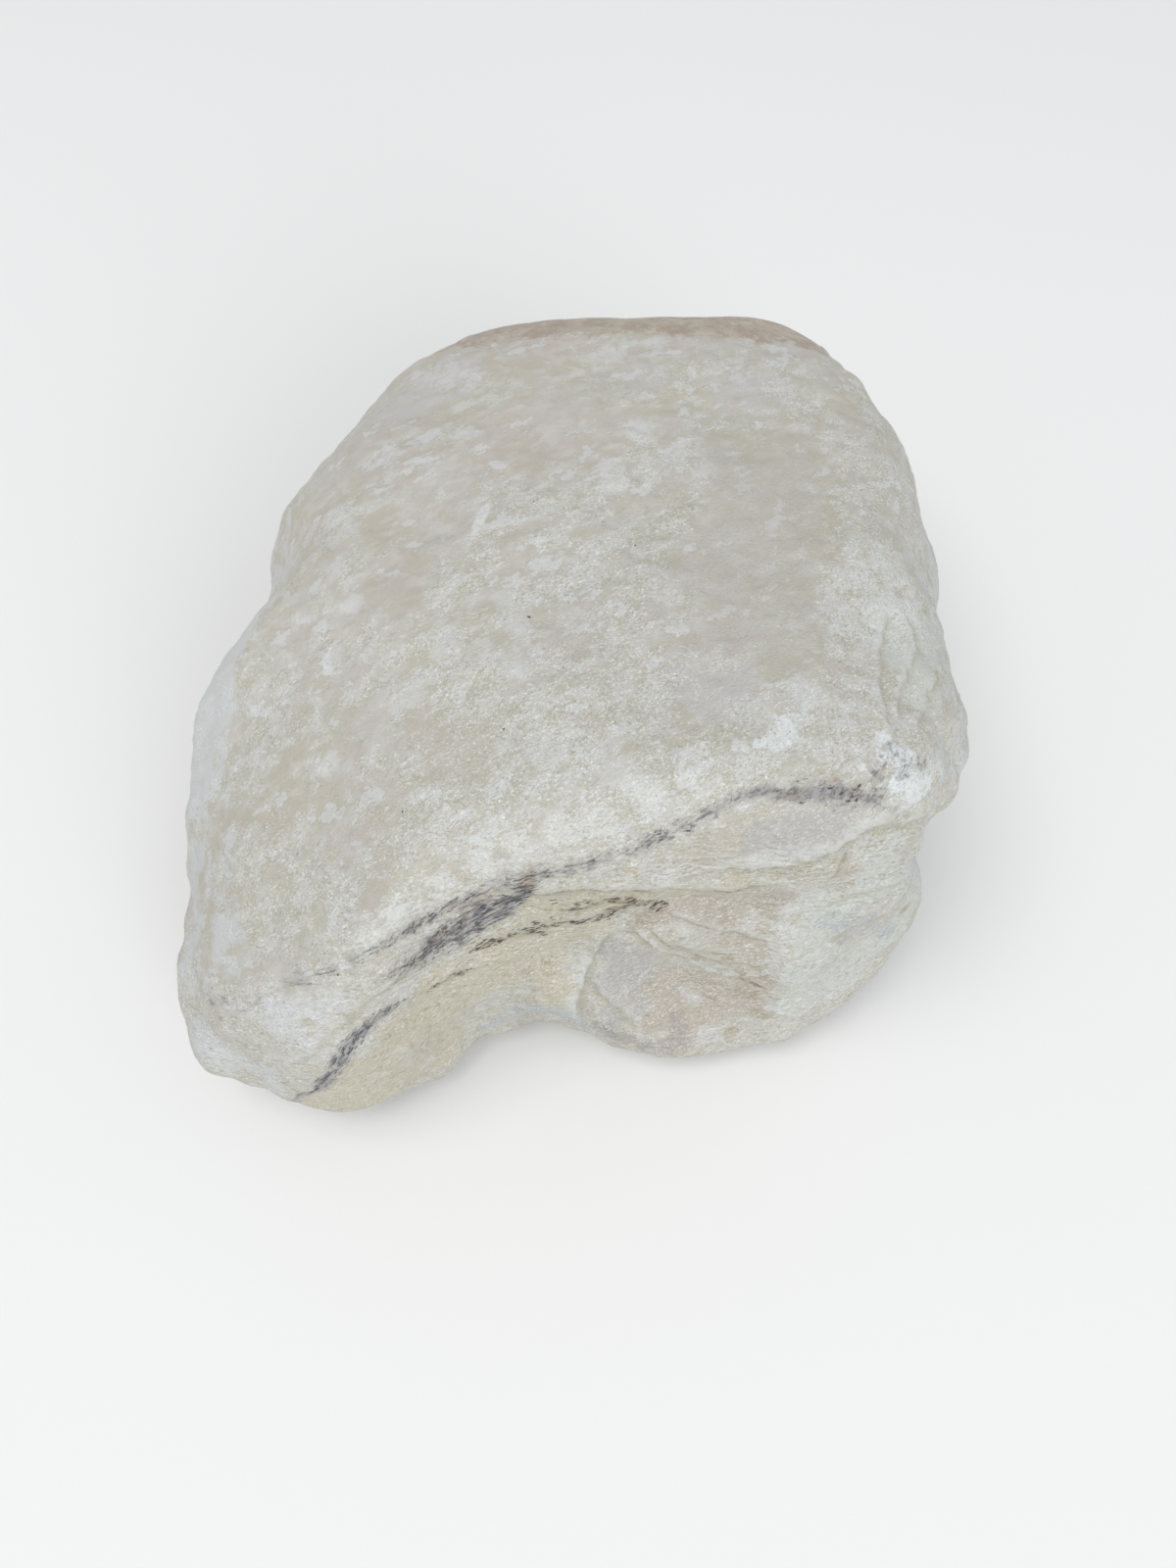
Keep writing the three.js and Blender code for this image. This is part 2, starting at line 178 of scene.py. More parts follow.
# Steps in the broken front, in x and z from left to right. Each has the rise above its line, the cut
# below it, how far up and down these reach, and how dark the painted shadow line at its foot is.
FRONT_STEPS = [
    ([(-30, 113), (-14, 118), (5, 121), (20, 118), (32, 113), (43, 109), (52, 110), (60, 113), (70, 114)],
      0.5, 1, 6, 5, 0.9),
    ([(40, 121), (51, 123), (60, 123), (69, 126), (76, 129), (82, 132), (88, 135), (97, 134), (107, 130),
      (118, 122)], 1.2, 2.6, 7, 9, 1),
    ([(79, 109), (83, 116), (84, 122), (85, 129)], 0.4, 0.7, 4, 4, 0.7),
    ([(-8, 109), (3, 111), (12, 114), (18, 112), (26, 105)], 0.3, 0.6, 3, 3, 1),
    ([(-33, 93), (-25, 94), (-15, 97), (-2, 101), (5, 101), (11, 103), (18, 107), (26, 102)],
      0.4, 0.8, 4, 6, 1),
    ([(2, 26), (2, 40), (3, 54), (5, 64), (9, 76), (12, 86), (17, 92)], 1, 1.4, 7, 12, 0.1),
    ([(15, 91), (21, 91), (26, 85), (31, 74), (39, 62), (48, 57), (56, 58), (66, 60), (74, 68)],
      0.8, 1.3, 6, 9, 0.3),
    ([(23, 96), (30, 88), (36, 79), (43, 70), (52, 66), (63, 66), (72, 72)], 0.5, 0.6, 3, 4, 0.6),
    ([(30, 100), (38, 95), (48, 87), (59, 80), (69, 79)], 0.5, 0.7, 4, 4, 0.5),
    ([(28, 91), (35, 83), (41, 76), (50, 72), (60, 73)], 0.4, 0.5, 3, 3, 0.5),
    ([(6, 61), (10, 51), (15, 42), (20, 34), (25, 28)], 0.5, 0.5, 4, 4, 0.3),
    ([(58, 56), (64, 54), (70, 51)], 0.3, 0.6, 3, 3, 0.8),
    ([(80, 96), (92, 100), (104, 98), (114, 92)], 0.3, 0.4, 4, 6, 0.3),
    ([(84, 72), (95, 78), (106, 79), (116, 74)], 0.3, 0.5, 4, 5, 0.4),
    ([(80, 52), (90, 60), (102, 62), (112, 58)], 0.3, 0.5, 4, 5, 0.2),
    ([(-92, 66), (-80, 78), (-70, 88), (-58, 96), (-44, 99)], 0.3, 0.4, 5, 5, 0.2),
]
# The arris between the pink break-out and the pale right-hand facet.
FRONT_ARRIS = [(72, 117), (72, 96), (71, 84), (73, 73), (73, 59), (76, 38), (74, 21)]
# Curved flake scars on the right shoulder, in x and y, each stepping down to the right: rise, cut,
# left and right reach, and how dark the painted shadow line at it is.
SHOULDER_STEPS = [
    ([(99, -86), (97, -76), (97, -66), (100, -53), (103, -40), (105, -30)], 0.5, 1.1, 4, 7, 0.3),
    ([(100, -80), (104, -67), (108, -58), (113, -46), (113, -38), (110, -30)], 0.6, 1, 3, 6, 0.3),
    ([(107, -80), (109, -77), (114, -67), (118, -57), (119, -48)], 0.5, 1, 3, 6, 0.3),
]
# Small swellings and dents of the outline: x, y, z, radius, amount.
NUDGES = [
    (124, -84, 120, 18, 3.4), (132, -66, 116, 16, 2.2), (135, 16, 111, 26, 2.8), (115, 106, 124, 14, 2.2),
    (-118, 36, 96, 20, 2.6), (-108, 60, 112, 14, -1.6), (-124, -15, 107, 18, -2), (-134, -38, 92, 14, 2.4),
    (-138, -72, 76, 12, 1.4), (-138, -96, 66, 11, -2.6), (-135, -126, 54, 16, 3.2),
    (-132, -148, 36, 12, -1.4), (-49, -143, 14, 16, 3.2), (-33, -131, 15, 9, -1.8), (-20, -126, 15, 9, 1.8),
    (2, -127, 16, 16, 2), (116, -99, 120, 11, -2.2), (112, -102, 108, 8, 1.8), (-134, -93, 76, 10, -2),
    (-137, -101, 64, 8, -1.2), (-137, -116, 57, 8, 1.5), (-137, -133, 48, 8, 1.4), (-120, 48, 90, 16, -2),
    (-115, 24, 101, 12, -1.2), (-62, 137, 117, 20, -1.8), (-55, -150, 17, 11, -1.6), (-28, -128, 16, 9, 2),
    (14, -132, 13, 10, 1.6), (115, -109, 31, 14, 1.8), (80, -131, 15, 9, 1.2), (-114, -153, 30, 9, 1.6),
    (132, -65, 121, 12, -1.6),
]
# Tiny black specks: x, y, z, half length.
SPECKS = [
    (-13, -39, 148, 0.9), (22, -8, 149, 0.4), (-20, -81, 145, 0.4), (-51, -103, 132, 0.4),
    (-6, -124, 72, 0.5), (-13, 15, 147, 0.4), (-71, -145, 105, 0.4),
]

# Marks on the surface. Each table has its marks by strength: x, y, z, radius.
# Whitish abraded stone.
CHALK = {
    0.3: [(-98, -138, 92, 10)], 0.4: [(-80, -140, 106, 11)], 0.5: [(98, -91, 144, 8), (60, -119, 92, 7),
    (60, -118, 121, 7), (-80, -150, 90, 10)], 0.55: [(50, -98, 151, 11)], 0.6: [(-62, -138, 114, 12),
    (16, -121, 121, 7), (72, -118, 112, 6), (84, -127, 26, 10), (76, -117, 129, 7), (-88, -158, 66, 10)],
    0.7: [(112, -91, 138, 9), (64, -121, 78, 8), (38, -121, 94, 8), (75, -128, 36, 9), (88, -114, 131, 8)],
    0.75: [(-50, -132, 119, 12), (35, -103, 149, 12), (72, -91, 150, 8), (48, -121, 86, 9)],
    0.8: [(22, -107, 145, 13), (104, -97, 141, 12), (112, -20, 139, 14), (27, -120, 119, 9),
    (72, -117, 96, 7)], 0.85: [(-38, -125, 123, 13), (104, -36, 143, 14)], 0.9: [(-26, -119, 129, 13),
    (-14, -116, 134, 13), (-2, -114, 138, 13), (10, -111, 142, 13), (63, -88, 151, 9), (72, -119, 84, 8)],
}
# Black-brown ink-like blots.
BLOTS = {
    0.4: [(105, -112, 68, 2.4)], 0.5: [(78, -105, 145, 4), (69, -105, 146, 4), (35, -113, 140, 2.8)],
    0.6: [(66, -125, 63, 2.2), (85, -105, 144, 4), (28, -115, 138, 3.2)], 0.7: [(-17, -127, 98, 2.4)],
    0.8: [(12, -125, 114, 2.4), (11, -124, 103, 2.6), (3, -125, 107, 2.4), (-6, -125, 110, 2.2),
    (1, -125, 100, 2.4), (-29, -130, 92, 2.2), (-6, -122, 127, 2.4)], 0.9: [(30, -120, 101, 3),
    (23, -122, 107, 2.8), (19, -124, 112, 2.6), (2, -125, 110, 2.8), (-11, -127, 97, 2.4),
    (5, -125, 100, 2.4), (-25, -128, 94, 2.8), (-12, -124, 121, 3), (-35, -134, 82, 2.2),
    (-39, -136, 82, 2.2), (-61, -151, 87, 2.4)], 1: [(27, -120, 103, 3), (15, -124, 107, 3.2),
    (-8, -127, 95, 3), (-43, -138, 81, 2.4)],
}
# Bluish dark smudges at the left end and in the bruise on the right.
SMUDGE = {
    0.35: [(-119, -140, 74, 4)], 0.45: [(-112, -143, 79, 5), (-98, -146, 87, 4)],
    0.55: [(-105, -145, 83, 5)], 0.6: [(93, -103, 143, 4)], 0.65: [(96, -95, 147, 4), (92, -99, 146, 4)],
    0.7: [(107, -93, 143, 5)], 0.75: [(99, -92, 147, 5), (102, -96, 145, 5)],
}
# Painted bluish white light on the left rim.
PAINTED_RIM_LIGHT = {
    0.5: [(-76, -150, 94, 11), (-114, -116, 88, 14), (-110, -130, 88, 14)], 0.6: [(-84, -156, 74, 12),
    (-112, -8, 120, 12), (-100, -156, 34, 14)], 0.7: [(-90, -150, 84, 14), (-128, -90, 78, 16),
    (-104, -156, 50, 14)], 0.8: [(-120, -20, 112, 14), (-126, -120, 62, 18)], 0.9: [(-126, -40, 100, 20),
    (-130, -64, 88, 20), (-122, -146, 48, 18)],
}
ZONES = {
    # Tan to brown patches on the top and below the soft vein.
    "tan": {
        0.6: [(40, -116, 131, 8)], 0.7: [(-66, -18, 139, 12), (-67, 15, 139, 10), (-61, -104, 126, 12),
        (91, -15, 148, 8), (-92, -61, 122, 12)], 0.8: [(46, -115, 133, 12), (-15, 34, 144, 9),
        (-57, -25, 142, 12), (-96, -96, 110, 12), (-59, -127, 121, 8), (-104, -114, 99, 8),
        (-108, -89, 105, 7)], 0.9: [(-19, 46, 142, 14), (-51, -10, 143, 9), (-36, -87, 140, 16),
        (-30, -85, 141, 14), (-47, -73, 139, 9), (86, -9, 148, 9), (6, -82, 150, 5), (36, -84, 151, 6),
        (40, -52, 151, 6), (3, -55, 150, 6), (-36, -37, 146, 6), (29, 102, 138, 6)],
        1: [(56, -114, 137, 12), (66, -113, 137, 13), (78, -111, 138, 12), (-69, -78, 130, 6),
        (-89, -50, 126, 5), (83, -61, 150, 6), (20, -92, 150, 5), (118, -67, 138, 9)],
    },
    # Lavender grey abraded stone.
    "lavender": {
        0.4: [(30, 92, 140, 22)], 0.6: [(34, -66, 150, 9), (-50, 100, 133, 26), (-70, 84, 130, 22),
        (70, 80, 141, 24)], 0.8: [(48, -77, 151, 13), (40, -71, 150, 12), (52, -65, 151, 11)],
    },
    # Yellowish cream stone on the front.
    "cream": {
        0.5: [(20, -118, 127, 9), (44, -121, 74, 8), (56, -122, 70, 7)], 0.6: [(36, -113, 130, 9)],
        0.7: [(52, -118, 114, 8)], 0.8: [(-96, -162, 26, 12), (-84, -162, 42, 14), (38, -118, 108, 9)],
        0.9: [(-46, -143, 32, 16), (-44, -137, 82, 13), (8, -124, 92, 10), (-8, -124, 112, 10),
        (8, -124, 113, 10), (22, -121, 110, 10)], 1: [(-78, -161, 34, 16), (-62, -152, 34, 18),
        (-70, -157, 58, 18), (-56, -148, 66, 18), (-42, -140, 58, 18), (-28, -130, 70, 17),
        (-24, -127, 88, 12), (-12, -125, 76, 15), (-4, -127, 56, 13), (-4, -125, 90, 14)],
    },
    # Olive stone between the upper vein and the speckled seam.
    "olive": {
        0.5: [(102, -62, 146, 6), (103, -74, 146, 5)], 0.6: [(84, -117, 116, 4), (16, -122, 120, 7),
        (62, -119, 117, 6)], 0.7: [(-22, -126, 103, 9), (50, -119, 111, 7), (2, -124, 120, 7)],
        0.8: [(51, -118, 122, 6), (61, -118, 121, 6), (81, -118, 123, 5), (104, -107, 128, 5),
        (40, -119, 107, 8)], 0.9: [(72, -118, 124, 6), (96, -109, 131, 5), (-12, -125, 108, 9),
        (30, -120, 110, 9)], 1: [(0, -125, 108, 9), (10, -124, 110, 9), (20, -122, 112, 9)],
    },
    # Pinkish beige stone.
    "pink": {
        0.5: [(-16, -126, 66, 8)], 0.6: [(24, -125, 45, 8), (60, -120, 82, 9), (30, -125, 52, 14),
        (50, -120, 80, 9), (116, -101, 72, 12), (-20, -120, 128, 6)], 0.7: [(34, -126, 42, 9),
        (88, -116, 117, 6), (89, -115, 105, 6), (100, -113, 91, 6), (66, -118, 96, 9), (64, -126, 56, 10),
        (68, -119, 104, 7), (100, -108, 104, 7), (110, -98, 96, 7), (110, -88, 80, 10)],
        0.8: [(27, -129, 37, 10), (44, -119, 98, 11), (56, -118, 100, 11), (40, -136, 22, 10),
        (52, -121, 88, 9), (47, -122, 47, 10)], 0.9: [(44, -129, 34, 14), (56, -128, 42, 12),
        (64, -121, 72, 11), (64, -124, 54, 11), (64, -127, 38, 10), (60, -118, 104, 9), (36, -125, 44, 12),
        (31, -131, 33, 10)], 1: [(32, -119, 98, 8)],
    },
    # Cool grey stone in the scoop and in the striped underside.
    "grey": {
        0.6: [(90, -107, 139, 7), (91, -119, 67, 6), (24, -129, 38, 8)], 0.7: [(82, -107, 143, 8),
        (26, -124, 56, 12), (18, -131, 38, 10)], 0.8: [(58, -115, 135, 11), (68, -114, 136, 12),
        (78, -112, 137, 12), (20, -123, 58, 9), (93, -117, 74, 8), (14, -128, 56, 10), (21, -124, 52, 10),
        (12, -134, 27, 8)], 0.9: [(16, -125, 75, 8), (100, -115, 76, 9), (109, -109, 56, 10),
        (14, -125, 78, 9), (22, -124, 70, 12)],
    },
    # Pale greenish facets on the right.
    "pale": {
        0.4: [(104, -36, 145, 12)], 0.45: [(101, -10, 145, 20)], 0.6: [(122, -80, 110, 22),
        (117, -40, 136, 18)], 0.7: [(100, -112, 100, 13), (122, -92, 70, 18), (98, -110, 118, 14),
        (107, -48, 144, 14), (112, -64, 142, 14)], 0.8: [(112, -104, 92, 16)], 0.9: [(80, -117, 100, 9),
        (79, -121, 80, 9), (80, -124, 60, 9), (86, -118, 92, 17), (84, -122, 64, 17), (84, -127, 40, 16),
        (100, -116, 48, 18), (114, -104, 56, 18)],
    },
    # Brown to olive stains, small and strong.
    "brown": {
        0.4: [(-7, -126, 69, 7)], 0.5: [(66, -119, 112, 3)], 0.6: [(37, -120, 64, 4), (25, -126, 85, 4),
        (52, -123, 58, 4), (-54, -142, 100, 7), (66, -125, 63, 4)], 0.7: [(59, -125, 62, 4),
        (59, -131, 23, 5), (-33, -126, 114, 5), (-16, -124, 120, 4)], 0.8: [(21, -124, 92, 5),
        (45, -121, 67, 5), (62, -127, 46, 7), (-28, -125, 116, 5), (-22, -124, 118, 5)],
        0.9: [(27, -122, 98, 6), (53, -123, 68, 4), (118, -103, 65, 4)], 1: [(23, -123, 97, 6),
        (70, -129, 32, 6), (79, -101, 147, 1.8)],
    },
    # Bluish grey: the striped underside of the front, and a streak on the right-hand facet.
    "slate": {
        0.6: [(5, -130, 26, 6)], 0.7: [(-31, -131, 28, 7), (0, -130, 31, 7), (113, -106, 54, 7)],
        0.8: [(-24, -130, 33, 8), (-18, -131, 39, 8), (-11, -131, 43, 8), (-5, -131, 39, 8),
        (84, -118, 87, 6), (109, -108, 65, 8)], 0.9: [(92, -117, 82, 7), (100, -114, 79, 7)],
    },
    # A dusky edge along the foot of the front.
    "dusk": {
        0.6: [(37, -131, 37, 5)], 0.7: [(9, -132, 30, 5)], 0.9: [(13, -133, 25, 6), (40, -136, 23, 6),
        (38, -132, 31, 6)], 1: [(20, -136, 24, 6), (28, -137, 21, 6), (35, -137, 20, 6)],
    },
    # Small whitish patches.
    "white": {
        0.5: [(-55, 106, 130, 16), (-44, 99, 134, 15), (88, -82, 149, 9)], 0.6: [(20, -125, 47, 4),
        (-44, 57, 140, 5), (42, 48, 145, 7), (92, -44, 148, 9)], 0.7: [(72, -128, 36, 5), (41, -124, 43, 4),
        (-43, -142, 58, 4), (-61, -151, 44, 4), (-72, -150, 96, 9), (-53, -144, 89, 8), (-68, 51, 136, 9),
        (-66, 38, 138, 7), (-52, 40, 141, 6), (-80, 13, 136, 7), (-77, -11, 136, 6), (-55, -67, 137, 6),
        (-44, -57, 142, 6), (-82, -82, 122, 5), (-35, -68, 143, 5), (14, 33, 146, 7), (19, 3, 148, 5),
        (26, 56, 144, 10), (38, 39, 147, 8), (14, 109, 136, 11), (34, 117, 136, 9), (104, -12, 144, 10),
        (110, -30, 142, 9), (73, -45, 150, 5), (86, -35, 148, 8), (93, -20, 147, 10), (-18, -85, 145, 7)],
        0.8: [(70, -117, 93, 4), (68, -124, 68, 5), (35, -122, 95, 4), (24, -119, 129, 6),
        (78, -129, 28, 7), (45, -126, 40, 4), (-66, -156, 74, 5), (83, -115, 132, 4), (-52, -146, 29, 6),
        (-78, -158, 80, 9), (-39, 59, 140, 7), (-85, 23, 133, 8), (-81, -5, 135, 6), (-94, -23, 127, 5),
        (-80, -45, 131, 5), (-48, -60, 140, 6), (-39, -48, 145, 7), (-29, -52, 147, 7), (-23, -29, 148, 5),
        (-20, -31, 148, 5), (48, 30, 148, 8), (49, 73, 141, 4), (65, 91, 140, 6), (111, 11, 140, 5),
        (96, -68, 148, 5), (103, -31, 145, 8), (-5, -92, 147, 9), (12, -99, 149, 9), (18, -101, 149, 8),
        (37, -97, 151, 8), (53, -99, 151, 7)], 0.9: [(73, -117, 97, 4), (58, -119, 85, 5),
        (51, -123, 64, 4), (39, -123, 92, 5), (77, -116, 132, 5), (58, -117, 128, 5), (49, -134, 24, 8),
        (-57, -151, 58, 4), (71, -116, 132, 5), (89, -113, 134, 5), (-75, -23, 136, 6), (-80, -40, 131, 6),
        (-52, -63, 138, 7), (-78, -81, 125, 6), (-12, -31, 148, 5), (-11, -55, 149, 5), (15, 24, 147, 9)],
        1: [(70, -123, 75, 6), (29, -120, 120, 6), (65, -116, 130, 6), (-17, -42, 148, 6),
        (-19, -60, 148, 5), (75, -73, 151, 6)],
    },
    # Blue-white bruises.
    "bruise": {
        0.6: [(95, -93, 148, 4), (88, -97, 147, 4)], 0.7: [(98, -100, 143, 4)], 0.8: [(95, -87, 148, 4),
        (101, -93, 147, 6), (66, -85, 150, 5), (58, -91, 151, 4)], 0.9: [(109, -97, 139, 5),
        (63, -89, 151, 6)], 1: [(104, -100, 141, 7)],
    },
}


# Noise

def hashed(cell, salt):
    """A repeatable value from -1 to 1 for each lattice cell."""
    n = cell[:, 0] * 73856093 ^ cell[:, 1] * 19349663 ^ cell[:, 2] * 83492791 ^ (salt + SEED) * 2654435761
    n = (n ^ (n >> 13)) & 0xFFFFFFFF
    n = (n * 1274126177) & 0xFFFFFFFF
    n = (n ^ (n >> 16)) & 0xFFFFFFFF
    return n / 2147483647.5 - 1.0


def gradient_noise(points, salt):
    """Smooth lattice noise of unit cells, about -1 to 1."""
    base = np.floor(points).astype(np.int64)
    part = points - base
    ease = part ** 3 * (part * (part * 6 - 15) + 10)
    total = np.zeros(len(points))
    for corner in range(8):
        step = np.array([corner & 1, corner >> 1 & 1, corner >> 2 & 1])
        cell = base + step
        away = part - step
        slope = sum(hashed(cell, salt + 17 * axis) * away[:, axis] for axis in range(3))
        weight = np.prod(np.where(step == 1, ease, 1 - ease), axis=1)
        total += weight * slope
    return total * 1.4


def layered_noise(points, size, octaves, salt, gain=0.5):
    """Several octaves of noise, the coarsest with lumps of this size."""
    total = np.zeros(len(points))
    for octave in range(octaves):
        total += gain ** octave * gradient_noise(points * 2 ** octave / size, salt + 101 * octave)
    return total


def smoothstep(low, high, value):
    t = np.clip((value - low) / (high - low), 0.0, 1.0)
    return t * t * (3 - 2 * t)


# Lines and marks on the stone

def columns_at(table, x):
    """The columns after x, followed along the stone at these x."""
    rows = np.array(table, dtype=float)
    return [np.interp(x, rows[:, 0], rows[:, column]) for column in range(1, rows.shape[1])]


def offset_from(table, points):
    """Signed distance from the bedding sheet through a line, positive above it, and its further columns."""
    x = points[:, 0]
    y_line, z_line, *rest = columns_at(table, x)
    rows = np.array(table, dtype=float)
    across = rows[:, 1] * math.sin(SHEET_TILT) + rows[:, 2] * math.cos(SHEET_TILT)
    slope = np.interp(x, (rows[1:, 0] + rows[:-1, 0]) / 2, np.diff(across) / np.diff(rows[:, 0]))
    offset = (points[:, 1] - y_line) * math.sin(SHEET_TILT) + (points[:, 2] - z_line) * math.cos(SHEET_TILT)
    return offset / np.sqrt(1 + slope ** 2), rest


def band(table, points):
    """A vein's cone profile: its darkness on the line, falling to nothing at the half width."""
    offset, (width, dark) = offset_from(table, points)
    near = np.abs(points[:, 1] - columns_at(table, points[:, 0])[0]) < VEIN_DEPTH
    return np.clip(1 - np.abs(offset) / width, 0, 1) * dark * near


def follow(line, flat):
    """Signed distance from a line in a plane, positive on its left, and the place along it from 0 to 1."""
    corners = np.array(line, dtype=float)
    nearest = np.full(len(flat), np.inf)
    signed = np.zeros(len(flat))
    along = np.zeros(len(flat))
    for index, (start, end) in enumerate(zip(corners[:-1], corners[1:])):
        way = end - start
        away = flat - start
        part = np.clip(away @ way / (way @ way), 0, 1)
        gap = np.linalg.norm(away - part[:, None] * way, axis=1)
        closer = gap < nearest
        side = np.sign(way[0] * away[:, 1] - way[1] * away[:, 0])
        nearest = np.where(closer, gap, nearest)
        signed = np.where(closer, gap * side, signed)
        along = np.where(closer, (index + part) / (len(corners) - 1), along)
    return signed, along


def followed(table, flat):
    """For each step: the distance from its line, 1 along it but 0 at its ends, and its further values."""
    for line, *values in table:
        offset, along = follow(line, flat)
        yield offset, smoothstep(0, 0.12, along) * smoothstep(1, 0.88, along), values


def each_mark(table):
    """The place, radius and strength of each mark."""
    for strength, places in table.items():
        for x, y, z, radius in places:
            yield (x, y, z), radius, strength


def marks(table, points, scale=(1, 1, 1)):
    """Soft marks, the strongest at each point, drawn out where an axis has a small scale."""
    total = np.zeros(len(points))
    for place, radius, strength in each_mark(table):
        away = np.linalg.norm((points - place) * scale, axis=1)
        total = np.maximum(total, strength * np.clip(1 - away / radius, 0, 1))
    return total


def broad_marks(table, points):
    """Marks that run together into one zone: full inside, falling to nothing at the radius."""
    missing = np.ones(len(points))
    for place, radius, strength in each_mark(table):
        away = np.linalg.norm(points - place, axis=1) / radius
        missing *= 1 - min(strength, 1.0) * smoothstep(1.15, 0.25, away)
    return 1 - missing


# The stone's mesh

def apply_modifiers(piece):
    mesh = bpy.data.meshes.new_from_object(piece.evaluated_get(bpy.context.evaluated_depsgraph_get()))
    piece.modifiers.clear()
    piece.data = mesh
    mesh.name = piece.name


def subdivided_copy(node):
    """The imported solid's surface as a new mesh, rounded by subdivision."""
    shell = bmesh.new()
    shell.from_mesh(node.data)
    bmesh.ops.remove_doubles(shell, verts=shell.verts, dist=WELD)
    mesh = bpy.data.meshes.new("soapstone_block")
    shell.to_mesh(mesh)
    shell.free()
    piece = bpy.data.objects.new("soapstone_block", mesh)
    bpy.context.scene.collection.objects.link(piece)
    modifier = piece.modifiers.new("rounding", "SUBSURF")
    modifier.subdivision_type = "CATMULL_CLARK"
    modifier.levels = SUBDIVISIONS
    modifier.render_levels = SUBDIVISIONS
    apply_modifiers(piece)
    piece.data.materials.clear()
    return piece


def thin(piece):
    """Merges faces where the surface is plain, so that the relief keeps the finer ones."""
    triangles = sum(len(face.vertices) - 2 for face in piece.data.polygons)
    modifier = piece.modifiers.new("thinning", "DECIMATE")
    modifier.ratio = TRIANGLES / triangles
    apply_modifiers(piece)
    piece.data.shade_smooth()


def surface(mesh):
    """The vertices in millimetres, and their normals."""
    places = np.empty(len(mesh.vertices) * 3)
    mesh.vertices.foreach_get("co", places)
    normals = np.empty(len(mesh.vertices) * 3)
    mesh.vertex_normals.foreach_get("vector", normals)
    return places.reshape(-1, 3) / MM, normals.reshape(-1, 3)


# Relief, in millimetres

def wavered(points, axes):
    """The points seen along the third axis, with a small wander so that no edge runs straight."""
    waver = np.stack([layered_noise(points, 9, 4, salt, 0.6) for salt in (40, 41)], axis=1)
    return points[:, axes] + 1.3 * waver


def steps(table, flat):
    """Ledges along lines: proud above each line and cut back below it."""
    total = np.zeros(len(flat))
    for offset, ends, (rise, cut, up, down, _) in followed(table, flat):
        above = rise * np.exp(-np.clip(offset, 0, None) / up)
        below = -cut * np.exp(np.clip(offset, None, 0) / down)
        over = smoothstep(-0.8, 0.8, offset)
        total += (above * over + below * (1 - over)) * ends
    return total


def step_relief(points, normals):
    """Ledges and broken edges on the front, and flake scars on the right shoulder."""
    flat = wavered(points, FRONT_AXES)
    total = steps(FRONT_STEPS, flat)
    offset, _ = follow(FRONT_ARRIS, flat)
    total += 1.1 * np.exp(-np.abs(offset) / 5)
    total *= smoothstep(-80, -96, points[:, 1]) * smoothstep(0.75, 0.35, normals[:, 2])
    return total + steps(SHOULDER_STEPS, wavered(points, TOP_AXES)) * (points[:, 2] > SHOULDER_HEIGHT)


def near_steps(table, flat, inside):
    """Distance to the nearest step line, for the painted shade and shadow lines, and how close a point lies
    above one, for the painted highlight on its lip.
    """
    distance = np.full(len(flat), FAR)
    lip_highlight = np.zeros(len(flat))
    for offset, ends, (rise, _, up, _, dark) in followed(table, flat):
        distance = np.minimum(distance, np.abs(offset + 0.5) + FAR * (1 - ends) + 1.6 * (1 - dark))
        above = smoothstep(0.9 * up, 0.15 * up, offset) * (offset > 0)
        lip_highlight = np.maximum(lip_highlight, above * ends * min(1.0, rise + 0.2))
    return np.where(inside, distance, FAR), np.where(inside, lip_highlight, 0.0)


def bed_relief(points):
    """Thin beds that crop out along the folded front."""
    offset, _ = offset_from(SEAMS["speckled"], points)
    wander = 2.0 * layered_noise(points, 26, 3, 300)
    phase = (offset + wander) / BED_THICKNESS
    saw = phase - np.floor(phase)
    tread = smoothstep(0.0, 0.25, saw) * (1 - 0.7 * saw)
    zone = smoothstep(-90, -112, points[:, 1]) * smoothstep(-16, -6, offset) * smoothstep(32, 16, offset)
    strength = 0.35 + 0.65 * smoothstep(-0.3, 0.5, layered_noise(points, 30, 2, 310))
    return 0.55 * (tread - 0.4) * zone * strength


def rough_relief(points, normals):
    """Worn lumps everywhere, rougher on the broken sides than on the top."""
    top = smoothstep(0.55, 0.9, normals[:, 2])
    lumps = 0.55 * layered_noise(points, 42, 2, 1) + 0.30 * layered_noise(points, 17, 2, 2)
    scales = layered_noise(points * (0.6, 1.0, 1.4), 10, 3, 3)
    flakes = 0.22 * smoothstep(-0.02, 0.10, scales)
    broken = 0.45 * layered_noise(points * (0.5, 0.6, 1.6), 9, 2, 4)
    facets = np.abs(layered_noise(points * (1.0, 1.0, 1.3), 34, 4, 5)) - 0.35
    side = (1 - top) * smoothstep(-112, -90, points[:, 1])
    return lumps + flakes + (1 - top) * broken - 1.8 * side * facets


def relief(points, normals):
    total = rough_relief(points, normals)
    total += step_relief(points, normals)
    total += bed_relief(points)
    for x, y, z, radius, amount in NUDGES:
        total += amount * smoothstep(radius, 0, np.linalg.norm(points - (x, y, z), axis=1))
    return total


def shape_stone(piece, low, high):
    """Moves each vertex along its normal by the relief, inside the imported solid's box.

    What the stone rests on stays as it is.
    """
    mesh = piece.data
    points, normals = surface(mesh)
    amount = relief(points, normals) * smoothstep(*FOOT, points[:, 2])
    points = points + normals * amount[:, None]
    points = np.clip(points, np.array(low) / MM + INSET * np.array([1, 1, 0]), np.array(high) / MM - INSET)
    mesh.vertices.foreach_set("co", (points * MM).ravel())
    mesh.update()
    mesh.shade_smooth()


# Zones for the material

